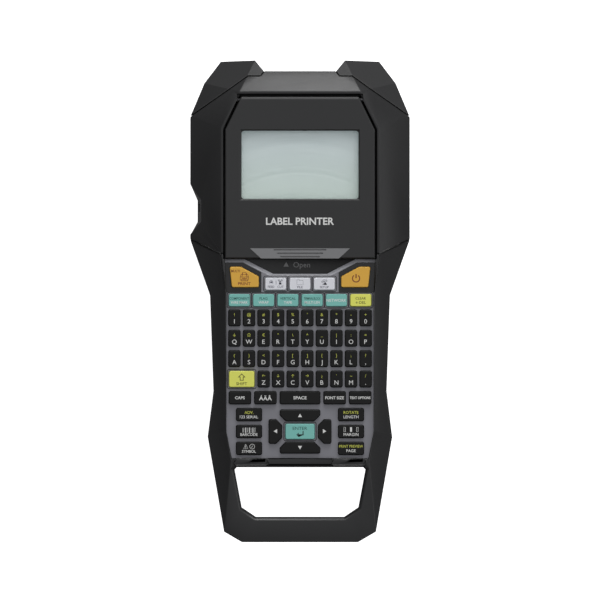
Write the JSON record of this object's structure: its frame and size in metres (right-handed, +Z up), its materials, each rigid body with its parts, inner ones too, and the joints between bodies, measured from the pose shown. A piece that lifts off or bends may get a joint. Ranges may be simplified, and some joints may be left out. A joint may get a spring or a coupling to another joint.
{
  "type": "label maker",
  "caption": "Rugged black handheld label printer with a hinged display lid over its cassette bay, a full small keyboard on a grey bezel, corner bumpers and a loop handle.",
  "frame": {"origin": "under the middle of the outline, on the surface that the feet stand on", "axes": "+Y along the length towards the head, +Z up out of the face, +X across to the right as the keys are read"},
  "size_m": [0.129, 0.2824, 0.0766],
  "materials": {
    "black_shell": "fine spark-eroded texture",
    "rubber_bumper": "soft matt",
    "rubber_grip": "soft matt, fine grain",
    "screw_steel": "zinc plated",
    "rubber_foot": "matt",
    "lid_plastic": "fine texture",
    "inner_plastic": "plain",
    "tab_grey": "fine texture",
    "window_clear": "clear hard-coated",
    "lcd_grey": "reflective grey-green",
    "pin_steel": "ground",
    "bezel_grey": "fine texture",
    "surround_black": "plain",
    "silicone_grey": "translucent silicone",
    "board_green": "solder mask",
    "spacer_brass": "turned",
    "tray_plastic": "plain",
    "plated_steel": "zinc plated sheet",
    "heat_sink": "extruded",
    "platen_rubber": "ground",
    "gear_white": "acetal",
    "spindle_plastic": "acetal",
    "motor_can": "plated can",
    "blade_steel": "hardened, ground",
    "battery_wrap": "shrink sleeve",
    "contact_gold": "gold-plated spring",
    "socket_black": "plain",
    "key_black": "matt",
    "key_green": "matt",
    "key_yellow": "matt",
    "key_orange": "matt",
    "key_white": "matt"
  },
  "bodies": {
    "root": {"front_shell": "black_shell", "rear_shell": "black_shell", "corner_bumper_left": "rubber_bumper", "corner_bumper_right": "rubber_bumper", "handle_grip": "rubber_grip", "housing_screws": "screw_steel", "rubber_feet": "rubber_foot", "lid_hinge_pins": "pin_steel", "keypad_bezel": "bezel_grey", "key_surrounds": "surround_black", "keypad_mat": "silicone_grey", "keypad_board": "board_green", "board_screws": "screw_steel", "main_board": "board_green", "board_spacers": "spacer_brass", "bay_tray": "tray_plastic", "print_chassis": "plated_steel", "print_head": "heat_sink", "head_springs": "pin_steel", "idler_axle": "pin_steel", "feed_motor": "motor_can", "drive_plate": "plated_steel", "cutter_frame": "spindle_plastic", "fixed_blade": "blade_steel", "battery_pack": "battery_wrap", "battery_contacts": "contact_gold", "port_block": "socket_black"},
    "lid": {"display_lid": "lid_plastic", "lid_inner_cover": "inner_plastic", "lid_grip_tab": "tab_grey", "lcd_window": "window_clear", "lcd_module": "lcd_grey"},
    "battery_door": {"battery_door": "black_shell"},
    "port_cover": {"port_cover": "rubber_bumper"},
    "platen": {"platen_roller": "platen_rubber", "platen_shaft": "pin_steel", "platen_gear": "gear_white"},
    "ribbon_drive": {"ribbon_spindle": "spindle_plastic", "spindle_gear": "gear_white"},
    "idler": {"idler_gear": "gear_white"},
    "motor_rotor": {"motor_pinion": "spacer_brass"},
    "cutter_blade": {"cutter_blade": "blade_steel"},
    "clear_key": {"clear_key": "key_yellow"},
    "down_key": {"down_key": "key_black"},
    "edit_keys": {"edit_keys": "key_black"},
    "enter_key": {"enter_key": "key_green"},
    "function_keys": {"function_keys": "key_green"},
    "home_letter_keys": {"home_letter_keys": "key_black"},
    "left_key": {"left_key": "key_black"},
    "lower_letter_keys": {"lower_letter_keys": "key_black"},
    "number_keys": {"number_keys": "key_black"},
    "power_key": {"power_key": "key_orange"},
    "print_key": {"print_key": "key_orange"},
    "right_key": {"right_key": "key_black"},
    "shift_key": {"shift_key": "key_yellow"},
    "side_keys": {"side_keys": "key_black"},
    "space_key": {"space_key": "key_black"},
    "tool_keys": {"tool_keys": "key_white"},
    "up_key": {"up_key": "key_black"},
    "upper_letter_keys": {"upper_letter_keys": "key_black"}
  },
  "joints": [
    {"name": "lid_hinge", "type": "hinge", "parent": "root", "child": "lid", "pos_m": [0, 0.11775, 0.0736], "axis": [-1, 0, 0], "range_deg": [0, 100]},
    {"name": "battery_door_slide", "type": "slide", "parent": "root", "child": "battery_door", "axis": [0, -1, 0], "range_m": [0, 0.02]},
    {"name": "port_cover_hinge", "type": "hinge", "parent": "root", "child": "port_cover", "pos_m": [0.0637, 0.08395, 0.0438], "axis": [0, 1, 0], "range_deg": [0, 90]},
    {"name": "platen_spin", "type": "hinge", "parent": "root", "child": "platen", "pos_m": [-0.0345, 0.05995, 0.0311], "axis": [0, 0, 1], "continuous": true},
    {"name": "ribbon_spin", "type": "hinge", "parent": "root", "child": "ribbon_drive", "pos_m": [0.01206, 0.07912, 0.0311], "axis": [0, 0, 1], "continuous": true},
    {"name": "idler_spin", "type": "hinge", "parent": "root", "child": "idler", "pos_m": [-0.01275, 0.07009, 0.0311], "axis": [0, 0, 1], "continuous": true},
    {"name": "motor_spin", "type": "hinge", "parent": "root", "child": "motor_rotor", "pos_m": [-0.00928, 0.0504, 0.0311], "axis": [0, 0, 1], "continuous": true},
    {"name": "cutter_stroke", "type": "slide", "parent": "root", "child": "cutter_blade", "axis": [0, -1, 0], "range_m": [0, 0.0045], "stiffness_N_per_m": 60, "springref_m": -0.001},
    {"name": "clear_key_press", "type": "slide", "parent": "root", "child": "clear_key", "axis": [0, 0, -1], "range_m": [0, 0.0012], "stiffness_N_per_m": 600, "springref_m": -0.0006},
    {"name": "down_key_press", "type": "slide", "parent": "root", "child": "down_key", "axis": [0, 0, -1], "range_m": [0, 0.0012], "stiffness_N_per_m": 600, "springref_m": -0.0006},
    {"name": "edit_keys_press", "type": "slide", "parent": "root", "child": "edit_keys", "axis": [0, 0, -1], "range_m": [0, 0.0012], "stiffness_N_per_m": 600, "springref_m": -0.0006},
    {"name": "enter_key_press", "type": "slide", "parent": "root", "child": "enter_key", "axis": [0, 0, -1], "range_m": [0, 0.0012], "stiffness_N_per_m": 600, "springref_m": -0.0006},
    {"name": "function_keys_press", "type": "slide", "parent": "root", "child": "function_keys", "axis": [0, 0, -1], "range_m": [0, 0.0012], "stiffness_N_per_m": 600, "springref_m": -0.0006},
    {"name": "home_letter_keys_press", "type": "slide", "parent": "root", "child": "home_letter_keys", "axis": [0, 0, -1], "range_m": [0, 0.0012], "stiffness_N_per_m": 600, "springref_m": -0.0006},
    {"name": "left_key_press", "type": "slide", "parent": "root", "child": "left_key", "axis": [0, 0, -1], "range_m": [0, 0.0012], "stiffness_N_per_m": 600, "springref_m": -0.0006},
    {"name": "lower_letter_keys_press", "type": "slide", "parent": "root", "child": "lower_letter_keys", "axis": [0, 0, -1], "range_m": [0, 0.0012], "stiffness_N_per_m": 600, "springref_m": -0.0006},
    {"name": "number_keys_press", "type": "slide", "parent": "root", "child": "number_keys", "axis": [0, 0, -1], "range_m": [0, 0.0012], "stiffness_N_per_m": 600, "springref_m": -0.0006},
    {"name": "power_key_press", "type": "slide", "parent": "root", "child": "power_key", "axis": [0, 0, -1], "range_m": [0, 0.0012], "stiffness_N_per_m": 600, "springref_m": -0.0006},
    {"name": "print_key_press", "type": "slide", "parent": "root", "child": "print_key", "axis": [0, 0, -1], "range_m": [0, 0.0012], "stiffness_N_per_m": 600, "springref_m": -0.0006},
    {"name": "right_key_press", "type": "slide", "parent": "root", "child": "right_key", "axis": [0, 0, -1], "range_m": [0, 0.0012], "stiffness_N_per_m": 600, "springref_m": -0.0006},
    {"name": "shift_key_press", "type": "slide", "parent": "root", "child": "shift_key", "axis": [0, 0, -1], "range_m": [0, 0.0012], "stiffness_N_per_m": 600, "springref_m": -0.0006},
    {"name": "side_keys_press", "type": "slide", "parent": "root", "child": "side_keys", "axis": [0, 0, -1], "range_m": [0, 0.0012], "stiffness_N_per_m": 600, "springref_m": -0.0006},
    {"name": "space_key_press", "type": "slide", "parent": "root", "child": "space_key", "axis": [0, 0, -1], "range_m": [0, 0.0012], "stiffness_N_per_m": 600, "springref_m": -0.0006},
    {"name": "tool_keys_press", "type": "slide", "parent": "root", "child": "tool_keys", "axis": [0, 0, -1], "range_m": [0, 0.0012], "stiffness_N_per_m": 600, "springref_m": -0.0006},
    {"name": "up_key_press", "type": "slide", "parent": "root", "child": "up_key", "axis": [0, 0, -1], "range_m": [0, 0.0012], "stiffness_N_per_m": 600, "springref_m": -0.0006},
    {"name": "upper_letter_keys_press", "type": "slide", "parent": "root", "child": "upper_letter_keys", "axis": [0, 0, -1], "range_m": [0, 0.0012], "stiffness_N_per_m": 600, "springref_m": -0.0006}
  ],
  "couplings": [
    {"joint": "idler_spin", "follows": "platen_spin", "ratio": -0.66667},
    {"joint": "ribbon_spin", "follows": "platen_spin", "ratio": 0.8},
    {"joint": "motor_spin", "follows": "platen_spin", "ratio": 1.7143}
  ]
}
